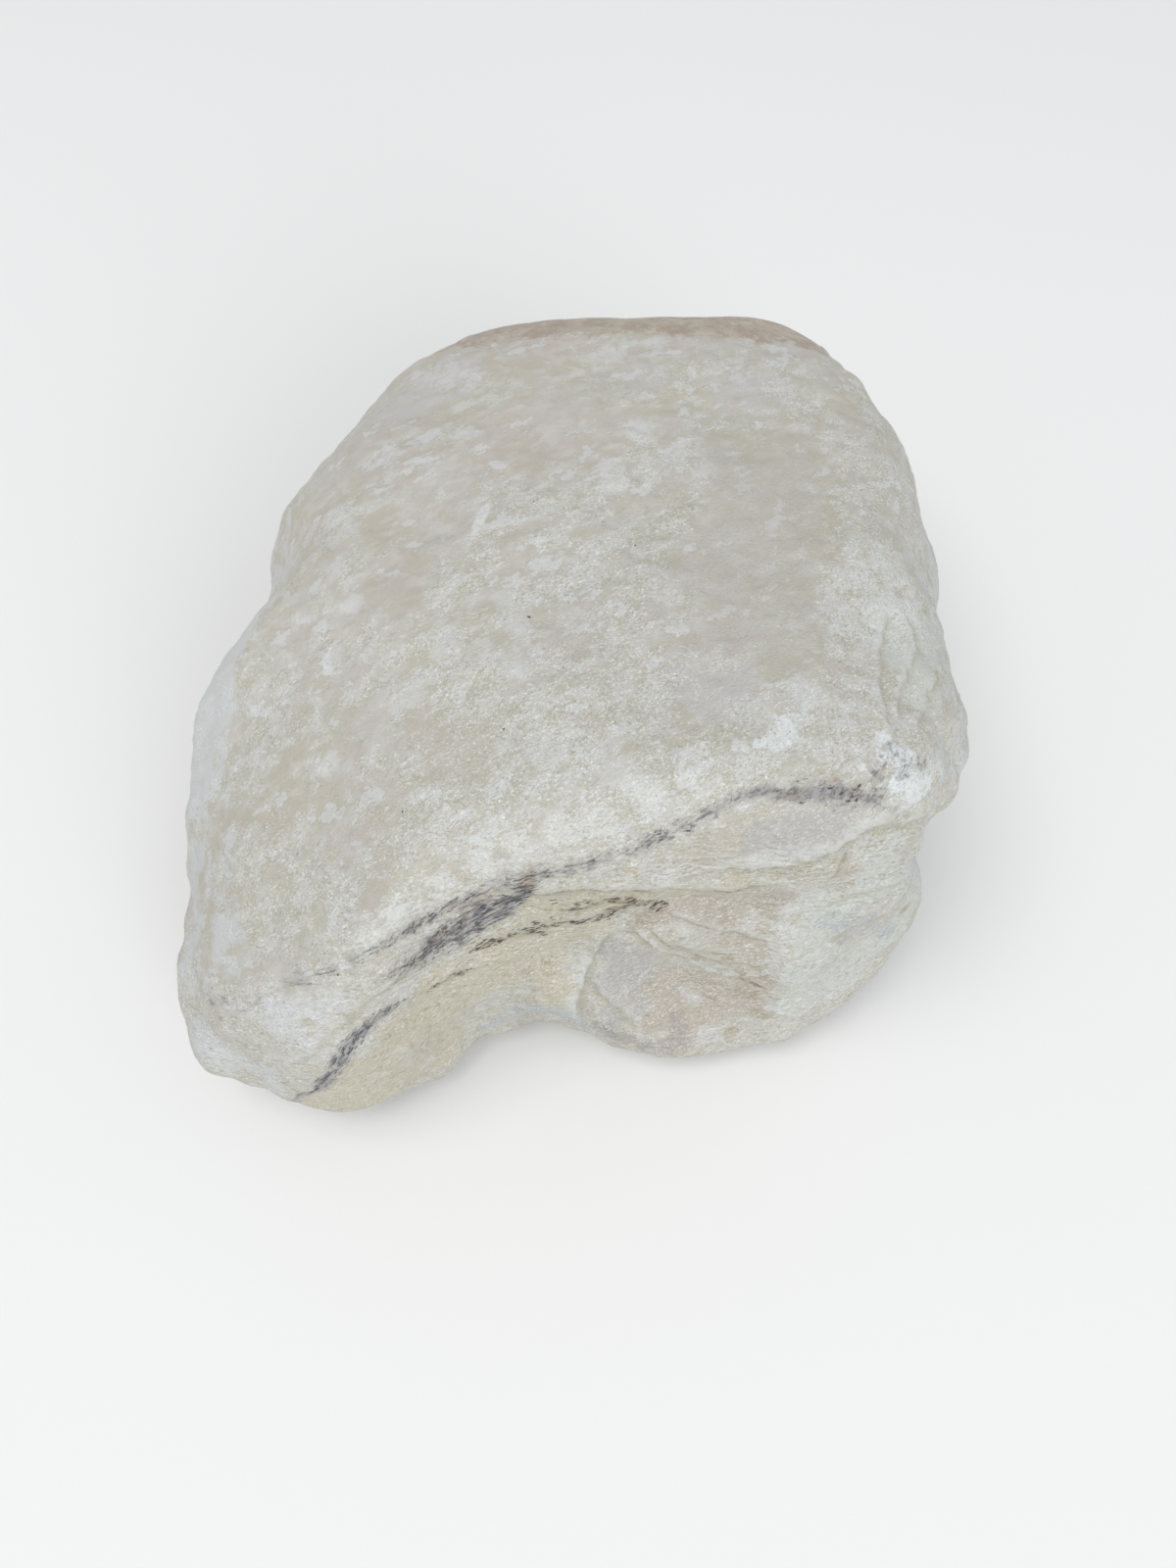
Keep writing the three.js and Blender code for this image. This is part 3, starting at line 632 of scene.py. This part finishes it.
def rubbed_strip(x, y):
    """1 on the strip, falling softly to 0 round it."""
    middle_x, middle_y = STRIP_MIDDLE
    half_width, half_length = STRIP_HALF
    across = smoothstep(0.5, 0.0, np.abs((x - middle_x - STRIP_SLANT * y) / half_width) ** 3)
    return across * smoothstep(0.5, 0.0, np.abs((y - middle_y) / half_length) ** 4)


def zone_values(points, normals):
    """What the material reads at each vertex, by name."""
    x, y, z = points.T
    tilt = np.abs(normals[:, 0]), normals[:, 1], normals[:, 2]
    zones = {name: broad_marks(table, points) for name, table in ZONES.items()}
    zones["vein"] = np.maximum(band(UPPER_VEIN, points), band(LOWER_BAND, points))
    zones["soft_vein"] = band(SOFT_VEIN, points)
    zones["steep_vein"] = band(LOWER_VEIN, points)
    zones["smudge"] = marks(SMUDGE, points)
    zones["chalk"] = marks(CHALK, points)
    zones["blots"] = marks(BLOTS, points, (1, 0.4, 1))
    for name, table in SEAMS.items():
        offset, (ink,) = offset_from(table, points)
        zones[name + "_offset"] = np.clip(offset, -20, 20)
        zones[name + "_ink"] = ink * ((x > table[0][0]) & (x < table[-1][0]) & (y < -100))
    zones["bedding"] = offset_from(SEAMS["speckled"], points)[0]
    # Where the painted shade, shadow lines and lip highlights of the ledges and flake scars go.
    distance, lip_highlight = near_steps(FRONT_STEPS, wavered(points, FRONT_AXES), y < -85)
    scar, scar_lip_highlight = near_steps(SHOULDER_STEPS, wavered(points, TOP_AXES), z > SHOULDER_HEIGHT)
    zones["step_distance"] = np.minimum(distance, scar + 0.6)
    zones["lip_highlight"] = np.maximum(lip_highlight, 1.3 * scar_lip_highlight)
    front = smoothstep(0.75, 0.35, tilt[2]) * smoothstep(-0.1, -0.5, tilt[1]) * smoothstep(-80, -105, y)
    zones["front"] = front
    zones["broken"] = np.maximum(front, 0.8 * smoothstep(0.55, 0.25, tilt[2]))
    # Painted brown reflection: along the back edge of the top, and on the sides that face the back.
    wander = 7 * layered_noise(points, 34, 3, 60)
    back_edge = smoothstep(112, 138, y + wander) * smoothstep(-75, -25, x) * smoothstep(120, 95, x)
    back_side = smoothstep(0.35, 0.65, tilt[1]) * smoothstep(40, 110, y) * smoothstep(50, 100, z)
    zones["back_reflection"] = np.maximum(back_edge, back_side)
    # Painted bluish light on the sides that face left or right, and on the left rim.
    outer = smoothstep(0.50, 0.85, tilt[0]) * smoothstep(70, 105, np.abs(x)) * smoothstep(125, 70, y)
    zones["painted_rim_light"] = np.maximum(0.5 * outer * smoothstep(30, 80, z), broad_marks(PAINTED_RIM_LIGHT, points))
    zones["abraded"] = np.clip(0.5 + 0.0026 * (x + 10) - 0.0036 * (y + 10), 0, 1)
    zones["rubbed"] = rubbed_strip(x, y) * smoothstep(0.6, 0.9, tilt[2])
    return zones


def store_zones(piece):
    for name, values in zone_values(*surface(piece.data)).items():
        layer = piece.data.attributes.new(name, "FLOAT", "POINT")
        layer.data.foreach_set("value", np.ascontiguousarray(values, dtype=np.float32))


# Material

def srgb(red, green, blue):
    """A display colour as linear RGBA."""
    def linear(value):
        value /= 255
        return value / 12.92 if value <= 0.04045 else ((value + 0.055) / 1.055) ** 2.4
    return (linear(red), linear(green), linear(blue), 1.0)


class Value:
    """An output of the node tree. Sums, differences and products of it are new nodes."""

    def __init__(self, graph, socket):
        self.graph = graph
        self.socket = socket

    def __add__(self, other):
        return self.graph.math("ADD", self, other)

    def __sub__(self, other):
        return self.graph.math("SUBTRACT", self, other)

    def __mul__(self, other):
        return self.graph.math("MULTIPLY", self, other)


class Graph:
    """Short calls for building a node tree. Places are in the object's own coordinates."""

    def __init__(self, material):
        self.tree = material.node_tree
        self.place = self.node("TexCoord", "Object")

    def node(self, kind, output, inputs=(), **settings):
        """A new node with these inputs, each fed by a value, a named colour or a constant."""
        made = self.tree.nodes.new("ShaderNode" + kind)
        for name, setting in settings.items():
            setattr(made, name, setting)
        for name, fed in dict(inputs).items():
            self.feed(made.inputs[name], fed)
        return Value(self, made.outputs[output])

    def feed(self, socket, fed):
        if isinstance(fed, Value):
            self.tree.links.new(fed.socket, socket)
        else:
            socket.default_value = srgb(*COLOURS[fed]) if isinstance(fed, str) else fed

    def __getitem__(self, name):
        """A zone, from the mesh's vertex attributes."""
        return self.node("Attribute", "Fac", attribute_name=name)

    def math(self, operation, first, second=0.0):
        return self.node("Math", 0, {0: first, 1: second}, operation=operation)

    def magnitude(self, value):
        return self.math("ABSOLUTE", value)

    def swing(self, noise, reach):
        """Noise about its middle value, stretched to this reach."""
        return (noise - 0.5) * reach

    def ramp(self, value, low, high, to_low=0.0, to_high=1.0):
        """A smooth step from one value to another."""
        ends = {"From Min": low, "From Max": high, "To Min": to_low, "To Max": to_high}
        return self.node("MapRange", "Result", {"Value": value, **ends}, interpolation_type="SMOOTHSTEP")

    def mix(self, factor, first, second):
        return self.node("Mix", 2, {"Factor": factor, 6: first, 7: second}, data_type="RGBA")

    def noise(self, size, detail, roughness, distortion=0.0, at=None):
        """Noise with lumps of this size."""
        form = {"Detail": detail, "Roughness": roughness, "Distortion": distortion}
        return self.node("TexNoise", "Fac", {"Vector": at or self.place, "Scale": 1 / (size * MM), **form})

    def stretched(self, along, normal, stretch, squeeze, at=None):
        """Coordinates in which noise is drawn out along one direction and thin across the other."""
        first = Vector(along).normalized()
        last = Vector(normal)
        last = (last - first * last.dot(first)).normalized()
        vector = at or self.place
        parts = []
        for axis in (first * (1 / stretch), first.cross(last), last * squeeze):
            parts.append(self.node("VectorMath", "Value", {0: vector, 1: axis}, operation="DOT_PRODUCT"))
        return self.node("CombineXYZ", 0, enumerate(parts))


def rough_mask(g, scaly):
    """Where the surface is abraded and scaly, not waxy: ragged islands, most at the front and right."""
    islands = g.noise(26, 4, 0.62, 0.2, at=scaly) * 0.55 + g.noise(7, 5, 0.72, 0.3, at=scaly) * 0.45
    level = islands + g["abraded"] * 0.1 - g["rubbed"] * 0.09
    return g.ramp(level, 0.49, 0.61)


def base_colour(g, scaly, rough):
    """Waxy beige stone, tan towards the back, cloudy, with ragged pale patches and bluish white crusts."""
    clouds = g.noise(45, 3, 0.6)
    waxy = g.mix(g.ramp(clouds, 0.38, 0.62), "waxy_olive", "waxy_grey")
    patches = g.ramp(g.noise(30, 4, 0.6, 0.4), 0.42, 0.6)
    tan = g.ramp(g["abraded"], 0.55, 0.05) * patches
    waxy = g.mix(tan * 0.7, waxy, "waxy_tan")
    streaks = g.noise(6, 5, 0.65, 0.3, at=scaly)
    waxy = g.mix(g.ramp(streaks, 0.5, 0.6, 0, 0.5), waxy, "pale_streak")
    waxy = g.mix(g.ramp(streaks, 0.46, 0.36, 0, 0.6), waxy, "dark_streak")
    abraded = g.mix(g.ramp(streaks, 0.4, 0.6), "abraded_dark", "abraded_pale")
    colour = g.mix(rough, waxy, abraded)
    level = g.noise(8, 5, 0.66, at=scaly) + g.swing(g.noise(30, 2, 0.5), 0.3)
    colour = g.mix(g.ramp(level, 0.575, 0.63, 0, 0.7), colour, "crust")
    ring = g.ramp(level, 0.545, 0.57) * g.ramp(level, 0.6, 0.575)
    return g.mix(ring * 0.25, colour, "crust_ring")


def ragged_zone(g, name, edge, low, high, most, hold):
    """How much of a zone's tint shows: its edge is shifted by noise, and stays within its marks."""
    shown = g.ramp(g[name] + edge, low, high, 0, most)
    return shown * g.ramp(g[name], 0, hold)


def zone_colour(g, colour, ragged, shift):
    """Tints by zone, each with ragged edges, among them the painted bluish rim light, then the rubbed strip.
    """
    shreds = g.swing(g.noise(4, 4, 0.8), 3)
    front = g.mix(g.ramp(ragged, 0.4, 0.6), "front_dark", "front_pale")
    colour = g.mix(g["front"] * 0.75, colour, front)
    for name, most in TINTS.items():
        edge = shreds if name in SHREDDED else shift
        colour = g.mix(ragged_zone(g, name, edge, 0.3, 0.65, most, 0.25), colour, name)
    rubbed = g["rubbed"] + shift * 0.5
    return g.mix(g.ramp(rubbed, 0.35, 0.95, 0, 0.4), colour, "rubbed")


def back_reflection_colour(g, colour, shift):
    """A painted brown reflection along the back, mottled and scuffed, with a ragged edge."""
    mottles = g.noise(14, 4, 0.68)
    brown = g.mix(g.ramp(mottles, 0.4, 0.6), "rind_brown", "rind_beige")
    scuffs = g.noise(3.5, 4, 0.75)
    brown = g.mix(g.ramp(scuffs, 0.56, 0.64, 0, 0.5), brown, "rind_scuff")
    brown = g.mix(g.ramp(scuffs, 0.43, 0.36, 0, 0.5), brown, "rind_dark")
    return g.mix(ragged_zone(g, "back_reflection", shift, 0.3, 0.6, 0.88, 0.25), colour, brown)


def chalk_mask(g, scaly, shift):
    """Whitish bruised stone, broken up into scaly shreds."""
    shreds = g.swing(g.noise(5, 4, 0.72, 0.5, at=scaly), 2.2)
    level = g["chalk"] + shreds + shift * 0.3
    return g.ramp(level, 0.32, 0.7) * g.ramp(g["chalk"], 0, 0.2)


def grain_strength(g, rough, chalk):
    """How much fine flaking shows: little on waxy stone, most on the abraded right and the chalky ridge."""
    worn = rough * g.ramp(g["abraded"], 0.05, 0.75, 0.45, 1)
    strength = g.ramp(worn, 0, 1, 0.14, 0.95)
    front = g["front"] * g.ramp(g["cream"], 0.2, 0.9, 0.85, 0.7)
    strength = g.math("MAXIMUM", strength, front)
    strength = g.math("MAXIMUM", strength, chalk * 0.8)
    return g.ramp(strength - g["tan"] * 0.35 - g["rubbed"] * 0.35, 0, 1)


def grain_colour(g, colour, curls, grit, strength):
    """Fine curled flakes, strong where the stone is abraded: hair-thin white edges, partly white stone and
    partly painted highlight, pale flecks, partly painted glints, and grey gaps of painted shade between the
    flakes.
    """
    edges = g.ramp(g.magnitude(curls - 0.5), 0.05, 0) * g.ramp(grit, 0.44, 0.58)
    colour = g.mix(edges * strength, colour, "flake_edge")
    colour = g.mix(g.ramp(grit, 0.58, 0.7) * strength, colour, "sparkle")
    # The grey gaps are painted shade.
    return g.mix(g.ramp(grit, 0.45, 0.3) * strength, colour, "gap")


def chip_colour(g, colour, chips):
    """Small crisp chips on the broken sides, in drifts: white flecks that are partly painted highlight on
    chip edges, and brownish painted shade in pores.
    """
    drifts = g.ramp(g.noise(9, 3, 0.6), 0.4, 0.6, 0.35, 1)
    shown = g["broken"] * drifts * g.ramp(g["tan"], 0.2, 0.9, 1, 0.35)
    colour = g.mix(g.ramp(chips, 0.565, 0.62) * (shown * 0.7), colour, "chip")
    return g.mix(g.ramp(chips, 0.435, 0.38) * (shown * 0.65), colour, "pore")


class Strands:
    """Hair-thin wavy strands and soft blots, drawn out along one direction of a vein."""

    def __init__(self, g, directions):
        self.g = g
        strokes = g.stretched(*directions, 5.0, 1.8)
        self.distance = g.magnitude(g.noise(2.6, 4, 0.62, 0.3, at=strokes) - 0.5)
        self.breaks = g.ramp(g.noise(1.7, 3, 0.6, at=strokes), 0.42, 0.54)
        self.blots = g.noise(2.4, 3, 0.6, at=strokes)

    def lines(self, thick):
        """Closer and wider where the vein is thick, and broken here and there."""
        width = self.g.ramp(thick, 0, 1.2, 0.004, 0.06)
        return self.g.ramp(self.distance - width, 0.018, 0) * self.breaks

    def dark_blots(self, thick):
        return self.g.ramp(self.blots + thick * 0.12, 0.6, 0.7)


def vein_colour(g, colour):
    """Feathery strands in the veins over a grey shadow, with a brownish core in the upper one."""
    feather = Strands(g, FEATHER)
    steep = Strands(g, STEEP)
    drift = g.noise(6, 4, 0.65)
    # The strength of each vein's shadow, of its strokes and of its brown core.
    kinds = (
        ("vein", feather, 0.62, 0.90, 0.75),
        ("steep_vein", steep, 0.80, 0.95, 0.10),
        ("smudge", feather, 0.45, 0.60, 0.00),
        ("soft_vein", feather, 0.90, 0.55, 0.35),
    )
    for name, strands, soft, hard, brown in kinds:
        amount = g[name]
        inside = g.ramp(amount, 0, 0.15)
        thick = amount + g.swing(drift, 2.2)
        shadow = g.ramp(thick, 0, 0.8, 0, soft) * inside
        colour = g.mix(shadow, colour, "vein_shadow")
        rust = g.ramp(drift, 0.51, 0.57, 0, brown) * g.ramp(amount, 0.25, 0.6)
        colour = g.mix(rust, colour, "rust")
        blots = strands.dark_blots(thick) * inside
        colour = g.mix(blots * (hard * 0.8), colour, "vein_blot")
        full = g.ramp(amount, 0.1, 0.65, 0.45, 1)
        strokes = strands.lines(thick) * full * inside
        colour = g.mix(strokes * hard, colour, "vein_stroke")
    return colour


def ledge_colour(g, colour):
    """Painted olive shade in the hollow at the foot of each ledge, a broken painted shadow line there, and a
    painted highlight on the lip above.
    """
    breaks = g.noise(5, 5, 0.7)
    lip_highlights = g["lip_highlight"] * g.ramp(breaks, 0.44, 0.54, 0, 0.85)
    colour = g.mix(lip_highlights, colour, "lip_highlight")
    colour = g.mix(g.ramp(g["step_distance"], 4.5, 0.8, 0, 0.45), colour, "hollow")
    line = g.ramp(g["step_distance"], 1.5, 0.4)
    return g.mix(line * g.ramp(breaks, 0.4, 0.52, 0, 0.85), colour, "hairline")


def seam_colour(g, colour):
    """Brown and black dots strung along the fine seams, and larger blots here and there."""
    dashes = g.stretched(*BEDS, 3.0, 1.4)
    dots = g.noise(1.3, 3, 0.6, at=dashes)
    wander = g.swing(g.noise(7, 3, 0.6), 5)
    for name, width in (("dotted", 1.8), ("speckled", 4.2), ("upper_seam", 2.4)):
        away = g.magnitude(g[name + "_offset"] + wander)
        near = g.ramp(away, 0.25 * width, width, 1, 0) * g[name + "_ink"]
        colour = g.mix(near * 0.35, colour, "seam_shadow")
        speck = g.ramp(near * 0.17 + dots, 0.695, 0.725) * 0.9 * g.ramp(near, 0, 0.1)
        colour = g.mix(speck, colour, "seam_speck")
    colour = g.mix(g["blots"] * 0.35, colour, "blot_halo")
    ragged = g.swing(g.noise(1.6, 4, 0.75, at=dashes), 4)
    return g.mix(ragged_zone(g, "blots", ragged, 0.52, 0.74, 0.9, 0.2), colour, "blot")


def capsule(g, start, end, radius):
    """1 within a short straight stroke between two points, falling softly to 0 at its side.

    The stroke reaches deep into the stone and out of it.
    """
    along = Vector(end) - Vector(start)
    middle = (Vector(start) + Vector(end)) / 2 * MM
    local = g.node("VectorMath", 0, {0: g.place, 1: middle}, operation="SUBTRACT")
    squeezed = g.stretched(along, (0, -0.4, 0.9), along.length / (2 * radius), 0.2, at=local)
    far = g.node("VectorMath", "Value", {0: squeezed}, operation="LENGTH")
    return g.ramp(far, radius * MM, 0.6 * radius * MM)


def small_marks(g, colour):
    """One pale scratch on the top, and a few tiny black specks."""
    scratch = capsule(g, *SCRATCH)
    ragged = g.ramp(g.noise(2, 4, 0.65), 0.38, 0.52, 0.5, 1)
    colour = g.mix(scratch * ragged, colour, "scratch")
    for x, y, z, half in SPECKS:
        reach = Vector((0.8, -0.6, 0.0)) * half
        middle = Vector((x, y, z))
        speck = capsule(g, middle - reach, middle + reach, max(0.45, 0.55 * half))
        colour = g.mix(speck * 0.9, colour, "speck")
    return colour


def hair_beds(g):
    """Hair-thin wavy beds that follow the seams across the front."""
    waves = g["bedding"] + g.noise(16, 4, 0.6) * 11
    return g.math("SINE", waves * 3.1)


def bed_colour(g, colour, beds):
    """The hair-thin beds as broken dark and pale lines, in patches, mostly round the olive stone."""
    near = g.ramp(g.magnitude(g["bedding"] - 8), 24, 8, 0.3, 1)
    patches = g.ramp(g.noise(12, 4, 0.65), 0.4, 0.56)
    shown = g["front"] * (near * patches)
    length = g.noise(2.5, 2, 0.6, at=g.stretched(*BEDS, 4.0, 1.0))
    dark = g.ramp(beds, -0.6, -0.97) * g.ramp(length, 0.42, 0.52)
    colour = g.mix(dark * (shown * 0.75), colour, "dark_bed")
    light = g.ramp(beds, 0.4, 0.97) * g.ramp(length, 0.55, 0.45)
    return g.mix(light * (shown * 0.6), colour, "pale_bed")


def stone_bump(g, height):
    """Fine relief of this height in millimetres, with small pits."""
    cells = g.node("TexVoronoi", "Distance", {"Vector": g.place, "Scale": 1 / (PIT_SPACING * MM)})
    pitted = height + g.ramp(cells, 0.04, 0.13) * 0.15
    return g.node("Bump", "Normal", {"Strength": 1.0, "Distance": MM, "Height": pitted})


def soapstone_material():
    material = bpy.data.materials.new("soapstone")
    material.use_nodes = True
    g = Graph(material)
    shader = material.node_tree.nodes["Principled BSDF"]
    scaly = g.stretched(*SCALES, 1.5, 1.6)
    ragged = g.noise(8, 5, 0.72)
    shift = g.swing(ragged, 1.8)
    curls = g.noise(1.7, 3, 0.62, 1.4, at=scaly)
    grit = g.noise(0.85, 3, 0.75, 0.8, at=scaly)
    chips = g.noise(1.9, 4, 0.8, 0.3, at=g.stretched(*CHIPS, 1.8, 1.3))
    rough = rough_mask(g, scaly)
    chalk = chalk_mask(g, scaly, shift)
    beds = hair_beds(g)
    colour = base_colour(g, scaly, rough)
    colour = zone_colour(g, colour, ragged, shift)
    colour = back_reflection_colour(g, colour, shift)
    colour = g.mix(chalk * 0.7, colour, "chalk")
    colour = bed_colour(g, colour, beds)
    colour = grain_colour(g, colour, curls, grit, grain_strength(g, rough, chalk))
    colour = chip_colour(g, colour, chips)
    for detail in (ledge_colour, vein_colour, seam_colour, small_marks):
        colour = detail(g, colour)
    g.feed(shader.inputs["Base Color"], colour)
    worn = g.ramp(rough, 0, 1, 0.44, 0.66) + chalk * 0.2
    g.feed(shader.inputs["Roughness"], worn - g["rubbed"] * 0.06)
    flaked = g.math("MAXIMUM", g.ramp(g["abraded"], 0.1, 0.8, 0.25, 0.8), g["chalk"])
    fine = (grit + curls - 1) * flaked
    bedded = beds * g["front"]
    chipped = (chips - 0.5) * g["broken"]
    g.feed(shader.inputs["Normal"], stone_bump(g, fine * 0.45 + bedded * 0.1 + chipped * 0.35))
    shader.inputs["Specular IOR Level"].default_value = 0.4
    return material


# Stage

def add_floor():
    material = bpy.data.materials.new("pale_floor")
    material.use_nodes = True
    shader = material.node_tree.nodes["Principled BSDF"]
    shader.inputs["Base Color"].default_value = (0.86, 0.86, 0.86, 1.0)
    shader.inputs["Roughness"].default_value = 0.9
    mesh = bpy.data.meshes.new("floor")
    corners = [(x * FLOOR_HALF, y * FLOOR_HALF, -FLOOR_GAP) for x, y in ((-1, -1), (1, -1), (1, 1), (-1, 1))]
    mesh.from_pydata(corners, [], [(0, 1, 2, 3)])
    mesh.materials.append(material)
    floor = bpy.data.objects.new("floor", mesh)
    bpy.context.scene.collection.objects.link(floor)


def add_area_light(name, place, power, colour):
    data = bpy.data.lights.new(name, "AREA")
    data.shape = "DISK"
    data.size = LIGHT_SIZE
    data.energy = power
    data.color = colour
    light = bpy.data.objects.new(name, data)
    light.location = place
    light.rotation_euler = (Vector(LIGHT_AIM) - Vector(place)).to_track_quat("-Z", "Y").to_euler()
    bpy.context.scene.collection.objects.link(light)


def add_lights():
    world = bpy.data.worlds.new("studio")
    world.use_nodes = True
    background = world.node_tree.nodes["Background"]
    background.inputs["Color"].default_value = (0.97, 0.985, 1.0, 1.0)
    background.inputs["Strength"].default_value = 0.62
    bpy.context.scene.world = world
    add_area_light("key", place=(-1.2, -0.8, 3.6), power=48, colour=(1.0, 0.99, 0.97))
    add_area_light("fill", place=(1.4, -3.2, 1.6), power=56, colour=(0.98, 0.99, 1.0))


def add_camera():
    lift = math.radians(CAMERA_ELEVATION)
    aim = Vector(CAMERA_AIM) * MM
    place = aim + Vector((0, -math.cos(lift), math.sin(lift))) * CAMERA_DISTANCE * MM
    data = bpy.data.cameras.new("camera")
    data.lens = CAMERA_LENS
    data.sensor_width = CAMERA_SENSOR
    camera = bpy.data.objects.new("camera", data)
    camera.location = place
    camera.rotation_euler = (aim - place).to_track_quat("-Z", "Y").to_euler()
    bpy.context.scene.collection.objects.link(camera)
    bpy.context.scene.camera = camera


def add_stone():
    piece = subdivided_copy(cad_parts["stone"])
    shape_stone(piece, *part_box("stone"))
    thin(piece)
    store_zones(piece)
    piece.data.materials.append(soapstone_material())
    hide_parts("stone")
    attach(piece, "root")


add_camera()
add_stone()
add_floor()
add_lights()
bpy.context.scene.view_settings.view_transform = "Standard"
